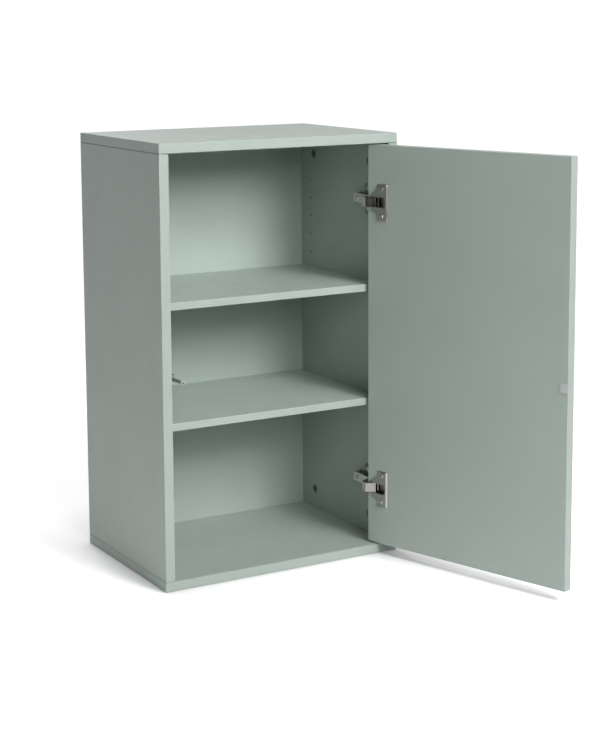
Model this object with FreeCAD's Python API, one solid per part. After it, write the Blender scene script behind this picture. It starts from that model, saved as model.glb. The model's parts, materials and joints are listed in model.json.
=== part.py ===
# Wall cabinet with an inset door, two shelves, cup hinges and a push latch.
# Millimetres. Origin at the middle of the underside, +Z up, front towards -Y.
# The door and all it carries are drawn shut and then turned open about the hinge line.
import FreeCAD
import Part
import math
import os

V = FreeCAD.Vector

# Cabinet
WIDTH = 430.0
DEPTH = 302.0
HEIGHT = 704.0
BOARD = 16.0
EDGE_R = 0.8
SIDE_EDGE_R = 0.5
BACK_T = 8.0
BACK_RECESS = 10.2
GROOVE = 6.0
GROOVE_PLAY = 0.5
GRID = 32.0
HOLE_EXTRA = 1.0

# Shelves
SHELF_T = 12.0
SHELF_OFF_MID = 96.0
SHELF_SIDE_GAP = 0.5
SHELF_CLEAR = 0.85
UPPER_ROWS = 6
COLUMN_IN = 60.0
COLUMN_STEP = 192.0
WIRE_R = 2.4
WIRE_IN = 3.2
WIRE_LEG = 10.0
WIRE_PLAY = 0.3

# Corner fittings
CAM_IN = 61.0
CAM_DOWN = 34.0
CAM_R = 7.5
CAM_DEPTH = 12.5
CAM_CORE = 4.0
CAM_RECESS_R = 4.0
CAM_RECESS_DEPTH = 2.5
BOLT_PLAY = 0.3
BOLT_THREAD_R = 2.5
BOLT_THREAD_L = 11.0
BOLT_R = 3.0
BOLT_NECK_R = 1.8
BOLT_NECK_END = 6.0
BOLT_HEAD_L = 3.0
DOWEL_R = 4.0
DOWEL_L = 30.0
DOWEL_IN_SIDE = 18.0
DOWEL_IN = 100.0

# Door
DOOR_GAP = 2.0
DOOR_T = 16.0
OPEN_ANGLE = 107.3
POLE_IN = 16.0
POLE_BACK = 6.8

# Hinge cups
HINGE_OFF_MID = 240.0
CUP_R = 17.5
CUP_WALL = 0.75
CUP_DEPTH = 12.7
CUP_EDGE = 21.0
RIM = 1.3
RIM_T = 1.2
FLANGE_T = 2.4
FLANGE_NEAR = 20.0
FLANGE_FAR = 42.0
FLANGE_HALF = 30.5
FLANGE_CORNER = 3.0
FLANGE_BEVEL = 1.9
MOUTH_HALF = 8.4
CUP_SCREW_U = 30.5
CUP_SCREW_Z = 22.5
CUP_SCREW_R = 1.75
CUP_SCREW_L = 11.0
CUP_SCREW_HEAD_R = 3.5
CUP_SCREW_HEAD_H = 1.3
PIN_R = 1.25
PIN_PLAY = 0.05
EAR_IN = 8.0
EAR_OUT = 10.5
EAR_R = 4.0

# Hinge arms and plates, measured in from the side's inner face and back from the front
ARM_HALF = 7.5
SHEET = 1.5
ARM_TOP = 13.5
ARM_END = 88.0
ARM_FRONT = 38.0
ARM_BEND_R = 6.0
NECK_CLEAR = 1.18
NECK_THICK = 6.3
NECK_SLOPE = 6.0
NECK_CORNER = 31.5
NECK_SHOULDER = 24.0
NECK_FLAT_RUN = 14.5
NECK_FLAT_RISE = 8.5
NECK_FLAT_R = 2.5
NECK_IN_R = 3.0
NECK_BACK_R = 5.0
NECK_START = 8.0
NECK_RISE = 3.8
EYE_R = 2.4
WEB_STOP = 6.0
SWING_CLEAR = 1.65
FOOT_SLOPE = 3.8
FOOT_GAP = 0.2
PLATE_T = 1.8
PLATE_FRONT = 40.0
PLATE_HALF = 10.0
PLATE_CORNER = 7.0
STRIP_MARGIN = 1.5
STRIP_CORNER = 3.0
CORE_FRONT = 42.0
CORE_SHORT = 3.0
CORE_PLAY = 0.2
PLATE_SCREW_R = 2.5
PLATE_SCREW_L = 11.0
PLATE_SCREW_HEAD_R = 4.2
PLATE_SCREW_HEAD_H = 2.0
FIX_Y = 76.0
FIX_R = 2.0
FIX_HEAD_R = 3.2
FIX_HEAD_H = 1.8
ADJUST_Y = 48.0
ADJUST_R = 1.7
ADJUST_HEAD_R = 2.6
ADJUST_HEAD_H = 1.4
ARM_SCREW_L = 9.0

# Push latch
LATCH_IN = 9.0
LATCH_BELOW_MID = 16.0
LATCH_LENGTH = 78.0
LATCH_W = 15.0
LATCH_H = 13.0
LATCH_EDGE_R = 3.0
LATCH_END_WALL = 4.0
LATCH_WING_HALF = 8.0
LATCH_WING_TALL = 17.0
LATCH_WING_CORNER = 5.0
LATCH_WING_T = 2.5
LATCH_SCREW_OFF = 12.0
LATCH_SCREW_R = 1.5
LATCH_SCREW_L = 11.0
LATCH_SCREW_HEAD_R = 2.9
LATCH_SCREW_HEAD_H = 1.6
BARREL_R = 4.75
BARREL_END = 2.8
COLLAR_R = 5.65
COLLAR_T = 0.8
PLUNGER_R = 2.9
PLUNGER_OUT = 20.0
PLUNGER_SPARE = 2.2
TOUCH_GAP = 0.3
TIP_R = 3.3
TIP_L = 3.5
TIP_EDGE_R = 0.6
TIP_SEAT = 1.75
TIP_CLEAR = 1.4
MAGNET_R = 1.7
STRIKE_W = 12.3
STRIKE_H = 14.4
STRIKE_T = 1.0
STRIKE_CORNER = 1.2

# Hangers
HANGER_DOWN = 84.0
HANGER_W = 13.0
HANGER_H = 50.0
HANGER_T = 2.0
HANGER_CORNER = 3.0
HANGER_SCREW_IN = 5.0
HANGER_SCREW_R = 1.5
HANGER_SCREW_L = 14.0
HANGER_HEAD_R = 2.8
HANGER_HEAD_H = 1.2
KEY_R = 4.75
KEY_DROP = 5.0
KEY_SLOT = 5.0
KEY_RISE = 8.0
KEY_ROOM = 0.45
KEY_DEPTH = 7.5

# Derived places
HALF_W = WIDTH / 2.0
FRONT = -DEPTH / 2.0
REAR = DEPTH / 2.0
SIDE_IN = HALF_W - BOARD
SIDE_MID = HALF_W - BOARD / 2.0
FLOOR_Z = BOARD
CEIL_Z = HEIGHT - BOARD
MID_Z = HEIGHT / 2.0
UPPER_SHELF_MID = MID_Z + SHELF_OFF_MID
LOWER_SHELF_MID = MID_Z - SHELF_OFF_MID
BACK_FRONT = REAR - BACK_RECESS - BACK_T
HINGE_Z = {"upper": MID_Z + HINGE_OFF_MID, "lower": MID_Z - HINGE_OFF_MID}
DOOR_EDGE = SIDE_IN - DOOR_GAP
DOOR_BACK = FRONT + DOOR_T
POLE = V(SIDE_IN - POLE_IN, FRONT + POLE_BACK, 0)
DOOR_SWEEP = math.hypot(POLE_IN - DOOR_GAP, DOOR_T - POLE_BACK)
SHELF_SETBACK = POLE_BACK + DOOR_SWEEP + SHELF_CLEAR
ARM_CLEAR = POLE_BACK + DOOR_SWEEP + SWING_CLEAR
CUP_X = DOOR_EDGE - CUP_EDGE
CUP_FLOOR = DOOR_BACK - CUP_DEPTH
CUP_MOUTH = math.sqrt((CUP_R - CUP_WALL) ** 2 - ARM_HALF ** 2)
NECK_OUT = DOOR_GAP + CUP_EDGE + CUP_MOUTH - NECK_CLEAR
LATCH_X = -SIDE_IN + LATCH_IN
LATCH_Z = MID_Z - LATCH_BELOW_MID
LATCH_FRONT = FRONT + DOOR_T + STRIKE_T + TOUCH_GAP + TIP_L + TIP_CLEAR + COLLAR_T
LATCH_SCREW_Y = LATCH_FRONT + LATCH_LENGTH / 2.0
STROKE = DOOR_T + STRIKE_T + TOUCH_GAP + PLUNGER_OUT
TIP_FRONT = FRONT - PLUNGER_OUT
HANGER_Z = HEIGHT - HANGER_DOWN
STEPS = (-1, 1)
LEFT, RIGHT = STEPS
DOWN, UP = STEPS


def block(x0, x1, y0, y1, z0, z1):
    return Part.makeBox(x1 - x0, y1 - y0, z1 - z0, V(x0, y0, z0))


def rod(r, length, at, direction):
    return Part.makeCylinder(r, length, at, direction)


def soften(shape, r):
    return shape.makeFillet(r, shape.Edges)


def joined(shapes):
    return shapes[0].multiFuse(shapes[1:]).removeSplitter()


def group(shapes):
    return Part.makeCompound(list(shapes))


def bent_wire(points):
    # points are (a, b, corner radius); straight runs joined by tangent arcs
    count = len(points)
    corners = []
    for i in range(count):
        before = V(points[i - 1][0], points[i - 1][1], 0)
        at = V(points[i][0], points[i][1], 0)
        after = V(points[(i + 1) % count][0], points[(i + 1) % count][1], 0)
        r = points[i][2]
        if r <= 0:
            corners.append((at, at, None))
            continue
        u = (before - at).normalize()
        w = (after - at).normalize()
        half = math.acos(max(-1.0, min(1.0, u.dot(w)))) / 2.0
        run = r / math.tan(half)
        top = at + (u + w).normalize() * (r / math.sin(half) - r)
        corners.append((at + u * run, at + w * run, top))
    edges = []
    for i in range(count):
        start, end, top = corners[i]
        if top is not None:
            edges.append(Part.Arc(start, top, end).toShape())
        following = corners[(i + 1) % count][0]
        if end.distanceToPoint(following) > 1e-6:
            edges.append(Part.makeLine(end, following))
    return Part.Wire(edges)


def slab(points, z0, z1):
    face = Part.Face(bent_wire(points))
    return face.translated(V(0, 0, z0)).extrude(V(0, 0, z1 - z0))


def rounded_plate(half_a, half_b, r, t):
    corners = [(-half_a, -half_b, r), (half_a, -half_b, r), (half_a, half_b, r), (-half_a, half_b, r)]
    return slab(corners, 0, t)


def turned(shape, axis, angle):
    out = shape.copy()
    out.rotate(V(0, 0, 0), axis, angle)
    return out


def aimed(shape, direction, at):
    # turns +Z of the shape towards the direction and puts its origin at the place
    out = shape.copy()
    out.Placement = FreeCAD.Placement(at, FreeCAD.Rotation(V(0, 0, 1), direction))
    return out


def on_side_face(plate, side, y, z):
    # a plate drawn flat, long way along its second axis, is laid upright on a side's inner face
    upright = turned(turned(plate, V(0, 1, 0), -side * 90), V(1, 0, 0), 90)
    return upright.translated(V(side * SIDE_IN, y, z))


def on_door_face(plate, x, z):
    return turned(plate, V(1, 0, 0), -90).translated(V(x, DOOR_BACK, z))


def opened(shape):
    out = shape.copy()
    out.rotate(POLE, V(0, 0, 1), OPEN_ANGLE)
    return out


def cross_recess(r, depth):
    arm = r * 0.22
    return block(-r, r, -arm, arm, 0, depth).fuse(block(-arm, arm, -r, r, 0, depth))


def screw(shank_r, shank_l, head_r, head_h):
    # head on top of z=0, shank below it
    straight = shank_l - shank_r
    shank = rod(shank_r, straight, V(0, 0, 0), V(0, 0, -1))
    tip = Part.makeCone(shank_r, shank_r * 0.25, shank_r, V(0, 0, -straight), V(0, 0, -1))
    head = rod(head_r, head_h, V(0, 0, 0), V(0, 0, 1))
    head = head.makeFillet(head_h * 0.4, [head.Edges[0]])
    recess = cross_recess(head_r * 0.62, head_h).translated(V(0, 0, head_h * 0.4))
    return joined([head, shank, tip]).cut(recess)


def end_level(end):
    return CEIL_Z if end == UP else FLOOR_Z


def cam_places():
    for side in STEPS:
        for end in STEPS:
            for y in (FRONT + CAM_IN, REAR - CAM_IN):
                yield side, end, V(side * SIDE_MID, y, end_level(end) - end * CAM_DOWN)


def dowel_places():
    for side in STEPS:
        for end in STEPS:
            for y in (FRONT + DOWEL_IN, REAR - DOWEL_IN):
                yield side, end, V(side * SIDE_MID, y, end_level(end) - end * DOWEL_IN_SIDE)


def dowel(side, end, at):
    return rod(DOWEL_R, DOWEL_L, at, V(0, 0, end))


def bolt_thread(end, at):
    return rod(BOLT_THREAD_R, BOLT_THREAD_L, V(at.x, at.y, end_level(end)), V(0, 0, end))


def cap_panel(end):
    z0 = CEIL_Z if end == UP else 0.0
    panel = soften(block(-HALF_W, HALF_W, FRONT, REAR, z0, z0 + BOARD), EDGE_R)
    reach = SIDE_IN + GROOVE
    low, high = sorted((end_level(end), end_level(end) + end * GROOVE))
    cuts = [block(-reach, reach, BACK_FRONT, BACK_FRONT + BACK_T, low, high)]
    cuts.extend(bolt_thread(e, at) for s, e, at in cam_places() if e == end)
    cuts.extend(dowel(s, e, at) for s, e, at in dowel_places() if e == end)
    return panel.cut(cuts)


def plate_screw_levels():
    return [z + step * GRID / 2.0 for z in HINGE_Z.values() for step in STEPS]


def wire_holes(side):
    # rows of holes in two columns; the hinge plates' screws take the place of some of the front ones
    taken = plate_screw_levels() if side == RIGHT else []
    rows = [UPPER_SHELF_MID + GRID * k for k in range(UPPER_ROWS)] + [LOWER_SHELF_MID]
    for z in rows:
        free = all(abs(z - other) > GRID / 4.0 for other in taken)
        for y in (FRONT + COLUMN_IN, FRONT + COLUMN_IN + COLUMN_STEP):
            if free or y > FRONT + COLUMN_IN:
                yield rod(WIRE_R, WIRE_LEG, V(side * SIDE_IN, y, z), V(side, 0, 0))


def hardware_holes(side):
    out = V(side, 0, 0)
    if side == RIGHT:
        for z in plate_screw_levels():
            at = V(SIDE_IN, FRONT + COLUMN_IN, z)
            yield rod(PLATE_SCREW_R, PLATE_SCREW_L + HOLE_EXTRA, at, out)
    else:
        for z in latch_screw_levels():
            yield rod(LATCH_SCREW_R, LATCH_SCREW_L + HOLE_EXTRA, V(-SIDE_IN, LATCH_SCREW_Y, z), out)


def cam_pockets(side):
    for s, end, at in cam_places():
        if s == side:
            yield rod(CAM_R, CAM_DEPTH, V(side * SIDE_IN, at.y, at.z), V(side, 0, 0))
            yield rod(BOLT_R + BOLT_PLAY, CAM_DOWN, at, V(0, 0, end))


def side_panel(side):
    x0, x1 = sorted((side * SIDE_IN, side * HALF_W))
    panel = soften(block(x0, x1, FRONT, REAR, FLOOR_Z, CEIL_Z), SIDE_EDGE_R)
    g0, g1 = sorted((side * SIDE_IN, side * (SIDE_IN + GROOVE)))
    cuts = [block(g0, g1, BACK_FRONT, BACK_FRONT + BACK_T, FLOOR_Z, CEIL_Z)]
    cuts.extend(cam_pockets(side))
    cuts.extend(dowel(s, e, at) for s, e, at in dowel_places() if s == side)
    cuts.extend(wire_holes(side))
    cuts.extend(hardware_holes(side))
    cuts.extend(hanger_cuts(side))
    return panel.cut(cuts)


def back_panel():
    into = GROOVE - GROOVE_PLAY
    reach = SIDE_IN + into
    return block(-reach, reach, BACK_FRONT, BACK_FRONT + BACK_T, FLOOR_Z - into, CEIL_Z + into)


def shelf(mid):
    half = SIDE_IN - SHELF_SIDE_GAP
    z0 = mid - SHELF_T / 2.0
    board = block(-half, half, FRONT + SHELF_SETBACK, BACK_FRONT, z0, z0 + SHELF_T)
    start = FRONT + COLUMN_IN - WIRE_R - WIRE_PLAY
    cuts = []
    for side in STEPS:
        g0, g1 = sorted((side * half, side * (SIDE_IN - WIRE_IN - WIRE_R - WIRE_PLAY)))
        cuts.append(block(g0, g1, start, BACK_FRONT, mid - WIRE_R - WIRE_PLAY, mid + WIRE_R))
    return soften(board, EDGE_R).cut(cuts)


def shelf_wire(side, mid):
    x = side * (SIDE_IN - WIRE_IN)
    front = V(x, FRONT + COLUMN_IN, mid)
    pieces = [rod(WIRE_R, COLUMN_STEP, front, V(0, 1, 0))]
    for at in (front, front + V(0, COLUMN_STEP, 0)):
        pieces.append(rod(WIRE_R, WIRE_IN + WIRE_LEG, at, V(side, 0, 0)))
        pieces.append(Part.makeSphere(WIRE_R, at))
    return joined(pieces)


def shelf_wires():
    return group(shelf_wire(side, mid) for mid in (UPPER_SHELF_MID, LOWER_SHELF_MID) for side in STEPS)


def cam_lock(side, end, at):
    face = V(side * SIDE_IN, at.y, at.z)
    out = V(side, 0, 0)
    slot = rod(BOLT_R + BOLT_PLAY, CAM_R + CAM_CORE, at - V(0, 0, end * CAM_CORE), V(0, 0, end))
    recess = aimed(cross_recess(CAM_RECESS_R, CAM_RECESS_DEPTH), out, face)
    return rod(CAM_R, CAM_DEPTH, face, out).cut([slot, recess])


def cam_bolt(side, end, at):
    along = V(0, 0, end)
    head = rod(BOLT_R, BOLT_HEAD_L, at - along * (BOLT_HEAD_L / 2.0), along)
    neck = rod(BOLT_NECK_R, BOLT_NECK_END, at, along)
    shank = rod(BOLT_R, CAM_DOWN - BOLT_NECK_END, at + along * BOLT_NECK_END, along)
    return joined([shank, neck, head, bolt_thread(end, at)])


def cup_screw_places(z):
    return [V(DOOR_EDGE - CUP_SCREW_U, DOOR_BACK, z + step * CUP_SCREW_Z) for step in STEPS]


def door_panel():
    z0 = FLOOR_Z + DOOR_GAP
    z1 = CEIL_Z - DOOR_GAP
    panel = soften(block(-DOOR_EDGE, DOOR_EDGE, FRONT, DOOR_BACK, z0, z1), EDGE_R)
    cuts = []
    for z in HINGE_Z.values():
        cuts.append(rod(CUP_R, CUP_DEPTH, V(CUP_X, DOOR_BACK, z), V(0, -1, 0)))
        for at in cup_screw_places(z):
            cuts.append(rod(CUP_SCREW_R, CUP_SCREW_L + HOLE_EXTRA - FLANGE_T, at, V(0, -1, 0)))
    return opened(panel.cut(cuts))


def pin_ear(z0, z1):
    foot = CUP_FLOOR + CUP_WALL / 2.0
    ear = block(POLE.x - EAR_R, POLE.x + EAR_R, foot, POLE.y, z0, z1)
    round_end = rod(EAR_R, z1 - z0, V(POLE.x, POLE.y, z0), V(0, 0, 1))
    below = block(POLE.x - EAR_R, POLE.x + EAR_R, foot - EAR_R, foot, z0, z1)
    return ear.fuse(round_end).cut(below)


def hinge_cup(z):
    shell = rod(CUP_R, CUP_DEPTH, V(CUP_X, DOOR_BACK, z), V(0, -1, 0))
    wing = rounded_plate((FLANGE_FAR - FLANGE_NEAR) / 2.0, FLANGE_HALF, FLANGE_CORNER, FLANGE_T)
    upper_edges = [e for e in wing.Edges if min(v.Z for v in e.Vertexes) > FLANGE_T / 2.0]
    wing = wing.makeChamfer(FLANGE_BEVEL, upper_edges)
    wing = on_door_face(wing, DOOR_EDGE - (FLANGE_NEAR + FLANGE_FAR) / 2.0, z)
    rim = rod(CUP_R + RIM, RIM_T, V(CUP_X, DOOR_BACK, z), V(0, 1, 0))
    inner_r = CUP_R - CUP_WALL
    hollow = rod(inner_r, CUP_DEPTH - CUP_WALL, V(CUP_X, DOOR_BACK, z), V(0, -1, 0))
    top = DOOR_BACK + FLANGE_T
    slot = block(CUP_X - CUP_R, CUP_X + CUP_R, DOOR_BACK, top, z - MOUTH_HALF, z + MOUTH_HALF)
    mouth = rod(inner_r, FLANGE_T, V(CUP_X, DOOR_BACK, z), V(0, 1, 0)).common(slot)
    ears = [pin_ear(*sorted((z + step * EAR_IN, z + step * EAR_OUT))) for step in STEPS]
    cup = joined([joined([shell, wing, rim]).cut([hollow, mouth])] + ears)
    cuts = [rod(PIN_R, 2 * EAR_OUT, V(POLE.x, POLE.y, z - EAR_OUT), V(0, 0, 1))]
    for at in cup_screw_places(z):
        cuts.append(rod(CUP_SCREW_R, FLANGE_T, at, V(0, 1, 0)))
    return opened(cup.cut(cuts))


def hinge_pin(z):
    return opened(rod(PIN_R, 2 * EAR_OUT, V(POLE.x, POLE.y, z - EAR_OUT), V(0, 0, 1)))


def hinge_cup_screws():
    piece = screw(CUP_SCREW_R, CUP_SCREW_L, CUP_SCREW_HEAD_R, CUP_SCREW_HEAD_H)
    places = [at + V(0, FLANGE_T, 0) for z in HINGE_Z.values() for at in cup_screw_places(z)]
    return group(opened(aimed(piece, V(0, 1, 0), at)) for at in places)


def neck_line(t):
    # the arm's outer bend from its rear end round to the cup, set in by t for the inside of the sheet
    out = NECK_OUT - t
    low = POLE_BACK - EYE_R
    flat = math.hypot(NECK_FLAT_RUN, NECK_FLAT_RISE)
    steep = NECK_FLAT_RISE / flat
    shallow = NECK_FLAT_RUN / flat
    return [
        (ARM_TOP - t, ARM_END, 0.0),
        (ARM_TOP - t, ARM_FRONT - 0.6 * t, ARM_BEND_R),
        (out - NECK_SLOPE + 0.4 * t, NECK_CORNER - t, ARM_BEND_R - t),
        (out, NECK_SHOULDER - 0.4 * t, ARM_BEND_R - t),
        (out, low + NECK_FLAT_RISE + t * (1 - steep) / shallow, NECK_FLAT_R - t),
        (NECK_OUT - NECK_FLAT_RUN - t * (1 - shallow) / steep, low + t, NECK_FLAT_R - t),
    ]


def arm_outline():
    eye_r = EYE_R * 0.995
    inner = NECK_OUT - NECK_THICK
    foot = PLATE_T + FOOT_GAP
    back_side = [
        (POLE_IN - EYE_R, POLE_BACK - EYE_R, eye_r),
        (POLE_IN - EYE_R, POLE_BACK + EYE_R, eye_r),
        (POLE_IN + NECK_START, POLE_BACK + NECK_RISE, EYE_R),
        (inner, POLE_BACK + NECK_RISE, NECK_IN_R),
        (inner, ARM_CLEAR - EYE_R, NECK_BACK_R),
        (POLE_IN + NECK_START, ARM_CLEAR, EYE_R),
        (foot + FOOT_SLOPE, ARM_CLEAR, EYE_R),
        (foot, ARM_CLEAR + FOOT_SLOPE, SHEET),
        (foot, ARM_END, 0.0),
    ]
    return neck_line(0.0) + back_side


def arm_hollow():
    stop = POLE_IN + WEB_STOP
    beyond = ARM_END + SHEET
    below = POLE_BACK - 2 * EYE_R
    line = neck_line(SHEET)
    line[0] = (ARM_TOP - SHEET, beyond, 0.0)
    inside = [
        (stop, POLE_BACK - EYE_R + SHEET, 0.0),
        (stop, below, 0.0),
        (0.0, below, 0.0),
        (0.0, beyond, 0.0),
    ]
    return line + inside


def from_side(points):
    # (in from the right side, back from the front, radius) to model places
    return [(SIDE_IN - s, FRONT + y, r) for s, y, r in points]


def web_at(y, z):
    return V(SIDE_IN - ARM_TOP, FRONT + y, z)


def hinge_arm(z):
    arm = slab(from_side(arm_outline()), z - ARM_HALF, z + ARM_HALF)
    inside = ARM_HALF - SHEET
    cuts = [slab(from_side(arm_hollow()), z - inside, z + inside)]
    cuts.append(rod(PIN_R + PIN_PLAY, 2 * ARM_HALF, V(POLE.x, POLE.y, z - ARM_HALF), V(0, 0, 1)))
    cuts.append(rod(FIX_R, SHEET, web_at(FIX_Y, z), V(1, 0, 0)))
    cuts.append(rod(ADJUST_R, SHEET, web_at(ADJUST_Y, z), V(1, 0, 0)))
    return arm.cut(cuts)


def hinge_plate(z):
    # cross-shaped foot on the side with a block that the arm sits over
    foot = rounded_plate(PLATE_HALF, GRID / 2.0 + PLATE_HALF, PLATE_CORNER, PLATE_T)
    half_long = (ARM_END - PLATE_FRONT) / 2.0
    strip = rounded_plate(half_long, ARM_HALF + STRIP_MARGIN, STRIP_CORNER, PLATE_T)
    high = SIDE_IN - ARM_TOP + SHEET
    half = ARM_HALF - SHEET - CORE_PLAY
    y0 = FRONT + CORE_FRONT
    core = block(high, SIDE_IN, y0, FRONT + ARM_END - CORE_SHORT, z - half, z + half)
    foot = on_side_face(foot, RIGHT, FRONT + COLUMN_IN, z)
    strip = on_side_face(strip, RIGHT, FRONT + PLATE_FRONT + half_long, z)
    cuts = []
    for step in STEPS:
        at = V(SIDE_IN - PLATE_T, FRONT + COLUMN_IN, z + step * GRID / 2.0)
        cuts.append(rod(PLATE_SCREW_R, PLATE_T, at, V(1, 0, 0)))
    cuts.append(rod(FIX_R, ARM_SCREW_L, web_at(FIX_Y, z), V(1, 0, 0)))
    cuts.append(rod(ADJUST_R, ARM_SCREW_L, web_at(ADJUST_Y, z), V(1, 0, 0)))
    return joined([foot, strip, core]).cut(cuts)


def hinge_plate_screws():
    piece = screw(PLATE_SCREW_R, PLATE_T + PLATE_SCREW_L, PLATE_SCREW_HEAD_R, PLATE_SCREW_HEAD_H)
    places = [V(SIDE_IN - PLATE_T, FRONT + COLUMN_IN, z) for z in plate_screw_levels()]
    return group(aimed(piece, V(-1, 0, 0), at) for at in places)


def arm_screws(y, shank_r, head_r, head_h):
    piece = screw(shank_r, ARM_SCREW_L, head_r, head_h)
    return group(aimed(piece, V(-1, 0, 0), web_at(y, z)) for z in HINGE_Z.values())


def latch_screw_levels():
    return [LATCH_Z + step * LATCH_SCREW_OFF for step in STEPS]


def latch_rod(r, start, end):
    return rod(r, end - start, V(LATCH_X, start, LATCH_Z), V(0, 1, 0))


def latch_housing():
    half = LATCH_H / 2.0
    end = LATCH_FRONT + LATCH_LENGTH
    inner = -SIDE_IN + LATCH_W
    body = block(-SIDE_IN, inner, LATCH_FRONT, end, LATCH_Z - half, LATCH_Z + half)
    outer_edges = [e for e in body.Edges if e.BoundBox.XMin > inner - 0.1 and e.BoundBox.YLength > half]
    body = body.makeFillet(LATCH_EDGE_R, outer_edges)
    wing = rounded_plate(LATCH_WING_HALF, LATCH_WING_TALL, LATCH_WING_CORNER, LATCH_WING_T)
    wing = on_side_face(wing, LEFT, LATCH_SCREW_Y, LATCH_Z)
    cuts = [latch_rod(BARREL_R, LATCH_FRONT, end - LATCH_END_WALL)]
    for z in latch_screw_levels():
        cuts.append(rod(LATCH_SCREW_R, LATCH_WING_T, V(-SIDE_IN, LATCH_SCREW_Y, z), V(1, 0, 0)))
    return joined([body, wing]).cut(cuts)


def latch_barrel():
    end = LATCH_FRONT + LATCH_LENGTH - LATCH_END_WALL
    tube = latch_rod(BARREL_R, LATCH_FRONT, end)
    collar = latch_rod(COLLAR_R, LATCH_FRONT - COLLAR_T, LATCH_FRONT)
    bore = latch_rod(PLUNGER_R + PIN_PLAY, LATCH_FRONT - COLLAR_T, end - BARREL_END)
    return joined([tube, collar]).cut(bore)


def latch_plunger():
    deepest = LATCH_FRONT + LATCH_LENGTH - LATCH_END_WALL - BARREL_END - PLUNGER_SPARE
    return latch_rod(PLUNGER_R, TIP_FRONT + TIP_SEAT, deepest - STROKE)


def plunger_magnet():
    return latch_rod(MAGNET_R, TIP_FRONT, TIP_FRONT + TIP_SEAT)


def plunger_tip():
    cap = soften(latch_rod(TIP_R, TIP_FRONT, TIP_FRONT + TIP_L), TIP_EDGE_R)
    return cap.cut([plunger_magnet(), latch_rod(PLUNGER_R, TIP_FRONT + TIP_SEAT, TIP_FRONT + TIP_L)])


def latch_screws():
    length = LATCH_WING_T + LATCH_SCREW_L
    piece = screw(LATCH_SCREW_R, length, LATCH_SCREW_HEAD_R, LATCH_SCREW_HEAD_H)
    places = [V(-SIDE_IN + LATCH_WING_T, LATCH_SCREW_Y, z) for z in latch_screw_levels()]
    return group(aimed(piece, V(1, 0, 0), at) for at in places)


def strike_plate():
    plate = rounded_plate(STRIKE_W / 2.0, STRIKE_H / 2.0, STRIKE_CORNER, STRIKE_T)
    return opened(on_door_face(plate, LATCH_X, LATCH_Z))


def hanger_screw_places(side):
    off = HANGER_H / 2.0 - HANGER_SCREW_IN
    return [V(side * SIDE_MID, REAR, HANGER_Z + step * off) for step in STEPS]


def hanger_outline(side):
    plate = rounded_plate(HANGER_W / 2.0, HANGER_H / 2.0, HANGER_CORNER, HANGER_T)
    return turned(plate, V(1, 0, 0), -90).translated(V(side * SIDE_MID, REAR - HANGER_T, HANGER_Z))


def hanger_cuts(side):
    # the plate's bed, the room behind its keyhole and the screw holes
    x = side * SIDE_MID
    half = KEY_R + KEY_ROOM
    seat = REAR - HANGER_T
    low = HANGER_Z - KEY_DROP - half
    room = block(x - half, x + half, seat - KEY_DEPTH, seat, low, HANGER_Z + KEY_RISE + half)
    cuts = [hanger_outline(side), room]
    for at in hanger_screw_places(side):
        cuts.append(rod(HANGER_SCREW_R, HANGER_SCREW_L + HANGER_T, at, V(0, -1, 0)))
    return cuts


def hanger_plate(side):
    x = side * SIDE_MID
    seat = REAR - HANGER_T
    half = KEY_SLOT / 2.0
    low = HANGER_Z - KEY_DROP
    high = HANGER_Z + KEY_RISE
    cuts = [rod(KEY_R, HANGER_T, V(x, seat, low), V(0, 1, 0))]
    cuts.append(block(x - half, x + half, seat, REAR, low, high))
    cuts.append(rod(half, HANGER_T, V(x, seat, high), V(0, 1, 0)))
    for at in hanger_screw_places(side):
        cuts.append(rod(HANGER_HEAD_R, HANGER_HEAD_H, at, V(0, -1, 0)))
        cuts.append(rod(HANGER_SCREW_R, HANGER_T, at, V(0, -1, 0)))
    return hanger_outline(side).cut(cuts)


def hanger_screws():
    piece = screw(HANGER_SCREW_R, HANGER_SCREW_L, HANGER_HEAD_R, HANGER_HEAD_H)
    places = [at - V(0, HANGER_HEAD_H, 0) for side in STEPS for at in hanger_screw_places(side)]
    return group(aimed(piece, V(0, 1, 0), at) for at in places)


def save(node, shape):
    shape.exportStep("parts/" + node + ".step")


os.makedirs("parts", exist_ok=True)
save("top_panel", cap_panel(UP))
save("bottom_panel", cap_panel(DOWN))
save("left_side_panel", side_panel(LEFT))
save("right_side_panel", side_panel(RIGHT))
save("back_panel", back_panel())
save("upper_shelf", shelf(UPPER_SHELF_MID))
save("lower_shelf", shelf(LOWER_SHELF_MID))
save("shelf_wires", shelf_wires())
save("cam_locks", group(cam_lock(*place) for place in cam_places()))
save("cam_bolts", group(cam_bolt(*place) for place in cam_places()))
save("corner_dowels", group(dowel(*place) for place in dowel_places()))
save("door_panel", door_panel())
for name, level in HINGE_Z.items():
    save(name + "_hinge_plate", hinge_plate(level))
    save(name + "_hinge_arm", hinge_arm(level))
    save(name + "_hinge_cup", hinge_cup(level))
    save(name + "_hinge_pin", hinge_pin(level))
save("hinge_plate_screws", hinge_plate_screws())
save("hinge_cup_screws", hinge_cup_screws())
save("arm_fixing_screws", arm_screws(FIX_Y, FIX_R, FIX_HEAD_R, FIX_HEAD_H))
save("arm_adjusting_screws", arm_screws(ADJUST_Y, ADJUST_R, ADJUST_HEAD_R, ADJUST_HEAD_H))
save("latch_housing", latch_housing())
save("latch_barrel", latch_barrel())
save("latch_plunger", latch_plunger())
save("plunger_tip", plunger_tip())
save("plunger_magnet", plunger_magnet())
save("latch_screws", latch_screws())
save("strike_plate", strike_plate())
save("hanger_plates", group(hanger_plate(side) for side in STEPS))
save("hanger_screws", hanger_screws())
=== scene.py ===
# Looks of the wall cabinet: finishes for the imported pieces, a pale floor, soft light and the camera.
# Metres throughout. Noise scales are in cycles per metre, and colours are shares of the light thrown back.
import json
import math

import bpy
from mathutils import Matrix, Vector

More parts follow.
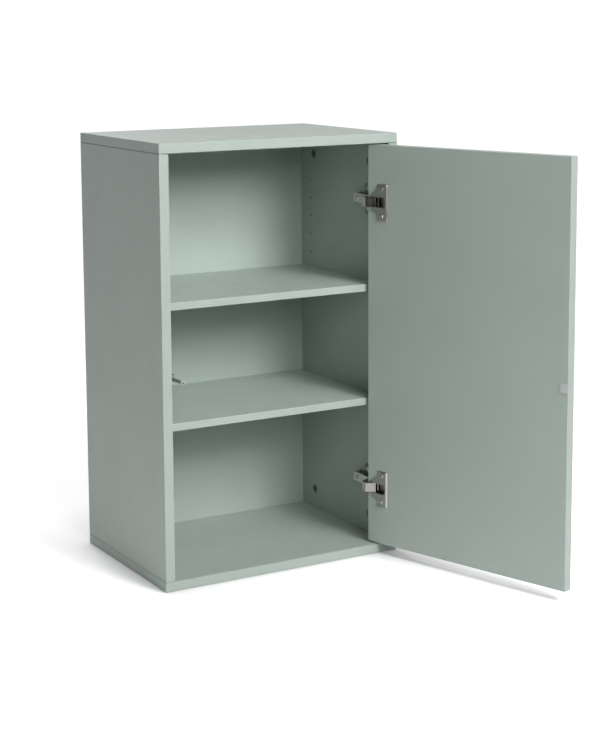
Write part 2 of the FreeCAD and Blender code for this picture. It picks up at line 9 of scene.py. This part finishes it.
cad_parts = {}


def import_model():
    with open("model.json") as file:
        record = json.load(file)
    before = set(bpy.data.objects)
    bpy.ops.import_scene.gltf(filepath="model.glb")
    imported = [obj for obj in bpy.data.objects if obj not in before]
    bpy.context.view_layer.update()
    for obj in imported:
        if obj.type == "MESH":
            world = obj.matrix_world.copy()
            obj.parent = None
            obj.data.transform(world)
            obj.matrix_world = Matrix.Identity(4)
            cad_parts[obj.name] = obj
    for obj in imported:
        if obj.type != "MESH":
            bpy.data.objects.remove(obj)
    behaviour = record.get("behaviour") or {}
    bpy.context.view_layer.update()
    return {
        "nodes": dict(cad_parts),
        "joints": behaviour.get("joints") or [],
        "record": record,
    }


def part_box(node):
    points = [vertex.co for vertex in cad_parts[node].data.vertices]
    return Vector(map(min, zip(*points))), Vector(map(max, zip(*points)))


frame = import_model()
nodes = frame["nodes"]
scene = bpy.context.scene

# Directions
UP = (0.0, 0.0, 1.0)
FRONT = (0.0, -1.0, 0.0)
SIDEWAYS = (1.0, 0.0, 0.0)

# Colours
SAGE = (0.334, 0.390, 0.358)
NICKEL = (0.56, 0.53, 0.50)
BRIGHT_STEEL = (0.62, 0.60, 0.57)
DARK_ZINC = (0.22, 0.22, 0.21)
ZINC_SHEET = (0.55, 0.56, 0.57)
PALE_STEEL = (0.66, 0.69, 0.67)
DARK_PLASTIC = (0.035, 0.037, 0.037)
GREY_PLASTIC = (0.26, 0.275, 0.27)
PALE_PLASTIC = (0.40, 0.42, 0.40)
MAGNET = (0.012, 0.012, 0.012)
BEECH_DARK = (0.45, 0.27, 0.14)
BEECH_LIGHT = (0.58, 0.38, 0.21)
BEECH_FLECK = (0.30, 0.16, 0.08)

# Roughness, from the glossiest to the dullest patch
SATIN = (0.36, 0.47)
DULL_ROUNDING = 0.9
NICKEL_GLOSS = (0.26, 0.36)
NECK_GLOSS = (0.18, 0.26)

# Values of a noise between which most of it lies
NOISE_SPAN = (0.3, 0.7)

# Lacquer: painted shade on the edges that face the front and on the door's free edge, painted light on the
# shelves, and painted shade along the corner joints, against the faces
CLOUDING = (0.98, 1.02)
FRONT_PAINTED_SHADE = 0.83
DOOR_EDGE_PAINTED_SHADE = 0.76
SHELF_PAINTED_LIGHT = 1.12
UPPER_JOINT_PAINTED_SHADE = 0.55
LOWER_JOINT_PAINTED_SHADE = 0.78
JOINT_LINE_FADE = (0.0006, 0.0011)
FACING_SHADE_TURN = (0.6, 0.9)
UPRIGHT_TURN = (0.93, 0.97)
ROUNDING_TURN = (0.95, 0.985)

# Metal: the grain's stretch along each axis and the depth of its lines
DRAWN = (1.0, 1.0, 14.0)
CAST = (1.0, 1.0, 1.0)
DRAWN_DEPTH = 0.000006
CAST_DEPTH = 0.00004

# Hinges: the slope of the neck's flat, which carries painted shade, and the painted shade inside the cups
NECK_RUN = 0.0145
NECK_RISE = 0.0085
NECK_PAINTED_SHADE = 0.7
NECK_TURN = (0.95, 0.99)
CUP_SHADE_PAST_PIN = 0.0022
CUP_SHADE_FADE = 0.001
CUP_PAINTED_SHADE = 0.07
CUP_FAR_WALL_SHADE = 0.8

# Floor: its size, the painted grey contact shadow close to the object, and how far the camera sees its glow
# lift it towards white
FLOOR_RADIUS = 2.4
FLOOR_SIDES = 96
FLOOR_DROP = 0.0004
FLOOR_TONES = (0.915, 0.93)
FLOOR_ROUGHNESS = 0.9
FLOOR_FADE = (1.0, 2.2)
CONTACT_REACH = 0.045
CONTACT_OPEN = (0.25, 0.95)
CONTACT_SHADOW_TONE = 0.52
CONTACT_SAMPLES = 16
LIFT_LEAST = 0.08
LIFT = (0.10, 0.30)
LIFT_FROM = (0.26, 0.40)

# World: the light from behind the cabinet, and the white that the camera sees
WALL_LEVEL = 0.90
BACKDROP_LEVEL = 1.05

# Camera, fitted to the photo's frame
IMAGE_H = 739
FOCAL_PX = 1707.9
SENSOR_MM = 36.0
LENS_SHIFT = -0.15
CAMERA_PLACE = (-1.3223, -2.4851, 0.8935)
CAMERA_YAW = 0.5223
CAMERA_PITCH = math.radians(8.086)
CAMERA_ROLL = 0.0061


def rgb(r, g, b):
    return (r, g, b, 1.0)


def toned(colour, tone):
    return rgb(*(c * tone for c in colour))


def grey(level):
    return rgb(level, level, level)


class Tree:
    """A material's node tree with short ways to add and link nodes."""

    # Sockets of a colour mix
    SHARE, FIRST, SECOND, RESULT = 0, 6, 7, 2

    def __init__(self, name):
        self.material = bpy.data.materials.new(name)
        self.material.use_nodes = True
        self.nodes = self.material.node_tree.nodes
        self.links = self.material.node_tree.links
        self.shader = self.nodes["Principled BSDF"]
        where = self.add("ShaderNodeTexCoord").outputs
        self.place = where["Object"]
        self.facing = where["Normal"]

    def add(self, kind, **values):
        node = self.nodes.new(kind)
        for key, value in values.items():
            setattr(node, key, value)
        return node

    def put(self, value, socket):
        if isinstance(value, bpy.types.NodeSocket):
            self.links.new(value, socket)
        else:
            socket.default_value = value

    def stretched(self, factors):
        node = self.add("ShaderNodeMapping")
        self.put(self.place, node.inputs["Vector"])
        node.inputs["Scale"].default_value = factors
        return node.outputs["Vector"]

    def along(self, vector, direction):
        node = self.add("ShaderNodeVectorMath", operation="DOT_PRODUCT")
        self.put(vector, node.inputs[0])
        node.inputs[1].default_value = direction
        return node.outputs["Value"]

    def length(self, vector):
        node = self.add("ShaderNodeVectorMath", operation="LENGTH")
        self.put(vector, node.inputs[0])
        return node.outputs["Value"]

    def math(self, operation, first, second=0.0):
        node = self.add("ShaderNodeMath", operation=operation)
        self.put(first, node.inputs[0])
        self.put(second, node.inputs[1])
        return node.outputs["Value"]

    def size(self, value):
        return self.math("ABSOLUTE", value)

    def off(self, value, level):
        """How far a value is from a level, either way."""
        return self.size(self.math("SUBTRACT", value, level))

    def noise(self, scale, detail=3.0, roughness=0.55, at=None):
        node = self.add("ShaderNodeTexNoise")
        self.put(at or self.place, node.inputs["Vector"])
        node.inputs["Scale"].default_value = scale
        node.inputs["Detail"].default_value = detail
        node.inputs["Roughness"].default_value = roughness
        return node.outputs["Fac"]

    def fitted(self, value, to=(0.0, 1.0), span=NOISE_SPAN):
        """The value carried from its span to another range, and held at the range's ends."""
        node = self.add("ShaderNodeMapRange")
        self.put(value, node.inputs["Value"])
        node.inputs["From Min"].default_value, node.inputs["From Max"].default_value = span
        node.inputs["To Min"].default_value, node.inputs["To Max"].default_value = to
        return node.outputs["Result"]

    def blend(self, share, first, second, mode="MIX"):
        node = self.add("ShaderNodeMix", data_type="RGBA", blend_type=mode)
        self.put(share, node.inputs[self.SHARE])
        self.put(first, node.inputs[self.FIRST])
        self.put(second, node.inputs[self.SECOND])
        return node.outputs[self.RESULT]

    def times(self, colour, tone):
        return self.blend(1.0, colour, tone, "MULTIPLY")

    def clouded(self, colour, tones, scale, detail):
        """The colour, drifting between two tones of it."""
        low, high = tones
        return self.blend(self.fitted(self.noise(scale, detail)), toned(colour, low), toned(colour, high))

    def bump(self, height, distance, strength=1.0, normal=None):
        node = self.add("ShaderNodeBump")
        self.put(height, node.inputs["Height"])
        node.inputs["Distance"].default_value = distance
        node.inputs["Strength"].default_value = strength
        if normal:
            self.put(normal, node.inputs["Normal"])
        return node.outputs["Normal"]

    def give(self, **values):
        for key, value in values.items():
            self.put(value, self.shader.inputs[key.replace("_", " ")])
        return self.material


def lacquer(name, colour, shade_facing=None, tone=1.0, jointed=False):
    """Satin sprayed lacquer on board: faint clouding, fine orange peel and a slightly uneven sheen.

    The surfaces that face along shade_facing carry painted shade of the given tone.
    A jointed board has painted shade along the lines of the corner joints, above and below, and dull
    rounded edges.
    """
    tree = Tree(name)
    base = tree.clouded(colour, CLOUDING, scale=7.0, detail=4.0)
    base = tree.times(base, tree.fitted(tree.noise(scale=1500.0, detail=2.0), CLOUDING))
    # painted shade on the surfaces that face along shade_facing
    if shade_facing:
        base = tree.times(base, tree.fitted(tree.along(tree.facing, shade_facing), (1.0, tone), FACING_SHADE_TURN))
    sheen = tree.fitted(tree.noise(scale=35.0, detail=5.0), SATIN)
    if jointed:
        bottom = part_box("bottom_panel")[1].z
        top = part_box("top_panel")[0].z
        height = tree.along(tree.place, UP)
        off_joint = tree.off(tree.off(height, (top + bottom) / 2), (top - bottom) / 2)
        square = tree.size(tree.along(tree.facing, UP))
        upright = tree.fitted(square, (1.0, 0.0), UPRIGHT_TURN)
        # painted shade in a thin line along each corner joint, deeper at the top one
        line = tree.math("MULTIPLY", upright, tree.fitted(off_joint, (1.0, 0.0), JOINT_LINE_FADE))
        dark = tree.fitted(height, (LOWER_JOINT_PAINTED_SHADE, UPPER_JOINT_PAINTED_SHADE), (bottom, top))
        base = tree.blend(line, base, tree.times(base, dark))
        for axis in (FRONT, SIDEWAYS):
            square = tree.math("MAXIMUM", square, tree.size(tree.along(tree.facing, axis)))
        sheen = tree.math("MAXIMUM", sheen, tree.fitted(square, (DULL_ROUNDING, 0.0), ROUNDING_TURN))
    peel = tree.bump(tree.noise(scale=420.0, roughness=0.5), distance=0.00006, strength=0.5)
    fine = tree.noise(scale=1800.0, detail=2.0, roughness=0.5)
    peel = tree.bump(fine, distance=0.00002, strength=0.4, normal=peel)
    return tree.give(Base_Color=base, Roughness=sheen, Normal=peel)


def metal(name, colour, gloss, grain=DRAWN, depth=DRAWN_DEPTH, cup_shade=None, shaded_face=None):
    """Plated steel with fine drawn lines, cloudy gloss and dulled patches.

    Below the first plane that cup_shade gives, as a direction and a distance, the plating carries painted
    shade, near black up to its second plane and a little darker beyond. The surface that faces as
    shaded_face says carries painted shade of the tone given there.
    """
    tree = Tree(name)
    base = tree.clouded(colour, (0.92, 1.0), scale=55.0, detail=4.0)
    if cup_shade:
        # painted shade inside the cup: near black up to just past the hinge pin, lighter beyond
        (inward, mouth), (across, reach) = cup_shade
        past = tree.fitted(tree.along(tree.place, across), span=(reach - CUP_SHADE_FADE, reach + CUP_SHADE_FADE))
        inside = tree.blend(past, toned(colour, CUP_PAINTED_SHADE), toned(colour, CUP_FAR_WALL_SHADE))
        deep = tree.fitted(tree.along(tree.place, inward), (1.0, 0.0), (mouth - CUP_SHADE_FADE, mouth))
        base = tree.blend(deep, base, inside)
    if shaded_face:
        # painted shade on the face that faces along shaded_face
        facing, tone = shaded_face
        base = tree.times(base, tree.fitted(tree.along(tree.facing, facing), (1.0, tone), NECK_TURN))
    patches = tree.fitted(tree.noise(scale=140.0, detail=5.0), gloss)
    lines = tree.noise(scale=260.0, detail=4.0, roughness=0.6, at=tree.stretched(grain))
    drawn = tree.bump(lines, distance=depth, strength=0.6)
    return tree.give(Base_Color=base, Metallic=1.0, Roughness=patches, Normal=drawn)


def plastic(name, colour, gloss):
    """Moulded plastic with a fine spark texture."""
    tree = Tree(name)
    base = tree.clouded(colour, (0.88, 1.0), scale=45.0, detail=3.0)
    patches = tree.fitted(tree.noise(scale=90.0), gloss)
    sparks = tree.bump(tree.noise(scale=2600.0), distance=0.00003, strength=0.7)
    return tree.give(Base_Color=base, Roughness=patches, Normal=sparks)


def beech(name):
    """Turned beech with short dark flecks along the grain."""
    tree = Tree(name)
    grain = tree.stretched((1.0, 1.0, 0.08))
    fleck = tree.fitted(tree.noise(scale=900.0, roughness=0.6, at=grain), span=(0.5, 0.75))
    ring = tree.fitted(tree.noise(scale=160.0, detail=4.0, roughness=0.6, at=grain))
    base = tree.blend(ring, rgb(*BEECH_DARK), rgb(*BEECH_LIGHT))
    base = tree.blend(fleck, base, rgb(*BEECH_FLECK))
    pores = tree.bump(fleck, distance=0.00004)
    return tree.give(Base_Color=base, Roughness=tree.fitted(ring, (0.5, 0.65)), Normal=pores)


def slot_finishes():
    """The finish of each material slot of the record."""
    return {
        "sage_lacquer": lacquer("sage_lacquer", SAGE),
        "nickel_steel": metal("nickel_steel", NICKEL, NICKEL_GLOSS),
        "screw_steel": metal("screw_steel", BRIGHT_STEEL, (0.22, 0.34), CAST),
        "dark_zinc": metal("dark_zinc", DARK_ZINC, (0.38, 0.52), CAST, CAST_DEPTH),
        "zinc_plate": metal("zinc_plate", ZINC_SHEET, (0.30, 0.45)),
        "pale_steel": metal("pale_steel", PALE_STEEL, (0.34, 0.46)),
        "beech": beech("beech"),
        "dark_plastic": plastic("dark_plastic", DARK_PLASTIC, (0.42, 0.55)),
        "grey_plastic": plastic("grey_plastic", GREY_PLASTIC, (0.38, 0.50)),
        "pale_plastic": plastic("pale_plastic", PALE_PLASTIC, (0.34, 0.46)),
        "dark_magnet": plastic("dark_magnet", MAGNET, (0.50, 0.62)),
    }


def node_finishes():
    """The finish of each board and hinge piece that differs from its slot's, mostly by painted shade or
    painted light.

    The door is open at rest: across runs over it from the hinge, and inward is how its inner face looks.
    """
    hinge = next(joint for joint in frame["joints"] if joint["name"] == "door_hinge")
    opened = math.radians(-hinge["range_deg"][0])
    across = Vector((-math.cos(opened), -math.sin(opened), 0.0))
    inward = Vector((-math.sin(opened), math.cos(opened), 0.0))
    inner_face = max(inward.dot(vertex.co) for vertex in nodes["door_panel"].data.vertices)
    cup_shade_end = across.dot(hinge["pos_m"]) + CUP_SHADE_PAST_PIN
    neck_facing = Vector((-NECK_RISE, -NECK_RUN, 0.0)).normalized()

    # painted shade on the door's free edge
    door = lacquer("sage_lacquer_door", SAGE, across, DOOR_EDGE_PAINTED_SHADE)
    # painted shade on the edges that face the front and along the corner joints
    shaded_boards = lacquer("sage_lacquer_painted_shade", SAGE, FRONT, FRONT_PAINTED_SHADE, jointed=True)
    # painted light: the shelves' lacquer is lighter than the boards', with painted shade on their front
    # edges
    lit_shelf_sage = tuple(c * SHELF_PAINTED_LIGHT for c in SAGE)
    lit_shelving = lacquer("sage_lacquer_shelf", lit_shelf_sage, FRONT, FRONT_PAINTED_SHADE / SHELF_PAINTED_LIGHT)
    # painted shade on the arms' neck flats
    shaded_neck = metal("nickel_steel_arm", NICKEL, NECK_GLOSS, shaded_face=(neck_facing, NECK_PAINTED_SHADE))
    # painted shade inside the hinge cups
    cup_shade = ((inward, inner_face), (across, cup_shade_end))
    shaded_cup = metal("nickel_steel_cup", NICKEL, NICKEL_GLOSS, cup_shade=cup_shade)
    return {
        "door_panel": door,
        "top_panel": shaded_boards,
        "bottom_panel": shaded_boards,
        "left_side_panel": shaded_boards,
        "right_side_panel": shaded_boards,
        "upper_shelf": lit_shelving,
        "lower_shelf": lit_shelving,
        "upper_hinge_arm": shaded_neck,
        "lower_hinge_arm": shaded_neck,
        "upper_hinge_cup": shaded_cup,
        "lower_hinge_cup": shaded_cup,
    }


def dress():
    """Gives each piece its own finish, or else its slot's."""
    by_slot = slot_finishes()
    by_node = node_finishes()
    for part in frame["record"]["subparts"]:
        materials = nodes[part["node"]].data.materials
        materials.clear()
        materials.append(by_node.get(part["node"]) or by_slot[part["material_slot"]])


def floor():
    """A white tabletop that fades into the white studio before its rim, with a painted grey contact shadow
    and a faint glow that the camera sees brighter away from the object.
    """
    bpy.ops.mesh.primitive_circle_add(
        vertices=FLOOR_SIDES, radius=FLOOR_RADIUS, fill_type="NGON", location=(0, 0, -FLOOR_DROP)
    )
    disc = bpy.context.object
    disc.name = "floor"
    tree = Tree("floor_white")
    near = tree.add("ShaderNodeAmbientOcclusion", samples=CONTACT_SAMPLES)
    near.inputs["Distance"].default_value = CONTACT_REACH
    clear = tree.fitted(near.outputs["AO"], span=CONTACT_OPEN)
    low, high = FLOOR_TONES
    base = tree.blend(tree.fitted(tree.noise(scale=3.0)), grey(low), grey(high))
    # painted contact shadow: the floor's colour greys where the object is near
    base = tree.blend(clear, grey(CONTACT_SHADOW_TONE), base)
    distance = tree.length(tree.place)
    fade = tree.fitted(distance, (1.0, 0.0), FLOOR_FADE)
    seen = tree.add("ShaderNodeLightPath").outputs["Is Camera Ray"]
    # glow: a faint one for all rays, and more for camera rays away from the object
    lift = tree.math("MULTIPLY", tree.math("MULTIPLY", seen, clear), tree.fitted(distance, LIFT, LIFT_FROM))
    glow = tree.math("ADD", lift, LIFT_LEAST)
    tree.give(
        Base_Color=base,
        Roughness=FLOOR_ROUGHNESS,
        Alpha=fade,
        Emission_Color=grey(1.0),
        Emission_Strength=glow,
    )
    disc.data.materials.append(tree.material)


def softbox(name, place, size, power, aim=(0.0, -0.1, 0.4)):
    """A rectangular lamp that the camera doesn't see."""
    data = bpy.data.lights.new(name, "AREA")
    data.shape = "RECTANGLE"
    data.size, data.size_y = size
    data.energy = power
    lamp = bpy.data.objects.new(name, data)
    lamp.visible_camera = False
    scene.collection.objects.link(lamp)
    lamp.location = place
    lamp.rotation_euler = (Vector(aim) - Vector(place)).to_track_quat("-Z", "Y").to_euler()


def world():
    """A studio whose wall behind the cabinet gives light, and which the camera sees as white."""
    studio = scene.world or bpy.data.worlds.new("studio")
    scene.world = studio
    studio.use_nodes = True
    tree = studio.node_tree
    sky = tree.nodes["Background"]
    sky.inputs["Color"].default_value = grey(1.0)
    direction = tree.nodes.new("ShaderNodeSeparateXYZ")
    tree.links.new(tree.nodes.new("ShaderNodeTexCoord").outputs["Generated"], direction.inputs[0])
    wall = tree.nodes.new("ShaderNodeMapRange")
    wall.inputs["To Max"].default_value = WALL_LEVEL
    tree.links.new(direction.outputs["Y"], wall.inputs["Value"])
    level = tree.nodes.new("ShaderNodeMix")
    tree.links.new(tree.nodes.new("ShaderNodeLightPath").outputs["Is Camera Ray"], level.inputs["Factor"])
    tree.links.new(wall.outputs["Result"], level.inputs["A"])
    level.inputs["B"].default_value = BACKDROP_LEVEL
    tree.links.new(level.outputs["Result"], sky.inputs["Strength"])


def lamps():
    softbox("key", place=(0.5, -2.0, 1.5), size=(0.8, 0.9), power=58.0, aim=(0.1, 0.0, 0.45))
    softbox("fill", place=(-0.64, -4.1, 1.84), size=(1.1, 1.1), power=46.0)
    softbox("side", place=(-2.1, -3.85, 2.8), size=(1.35, 1.05), power=27.0)
    softbox("overhead", place=(0.0, -1.8, 3.344), size=(1.2, 1.2), power=10.0)
    softbox("behind", place=(0.0, 2.844, 2.1), size=(1.2, 1.2), power=54.0)


def camera():
    data = bpy.data.cameras.new("camera")
    cam = bpy.data.objects.new("camera", data)
    scene.collection.objects.link(cam)
    scene.camera = cam
    data.sensor_width = SENSOR_MM
    data.lens = FOCAL_PX / IMAGE_H * SENSOR_MM
    data.shift_y = LENS_SHIFT
    heading = Vector((math.sin(CAMERA_YAW), math.cos(CAMERA_YAW), 0.0))
    forward = heading * math.cos(CAMERA_PITCH) - Vector(UP) * math.sin(CAMERA_PITCH)
    level = heading.cross(Vector(UP))
    below = forward.cross(level)
    right = level * math.cos(CAMERA_ROLL) + below * math.sin(CAMERA_ROLL)
    up = level * math.sin(CAMERA_ROLL) - below * math.cos(CAMERA_ROLL)
    turn = Matrix((right, up, -forward)).transposed().to_4x4()
    cam.matrix_world = Matrix.Translation(CAMERA_PLACE) @ turn


dress()
floor()
world()
lamps()
camera()
scene.view_settings.view_transform = "Standard"
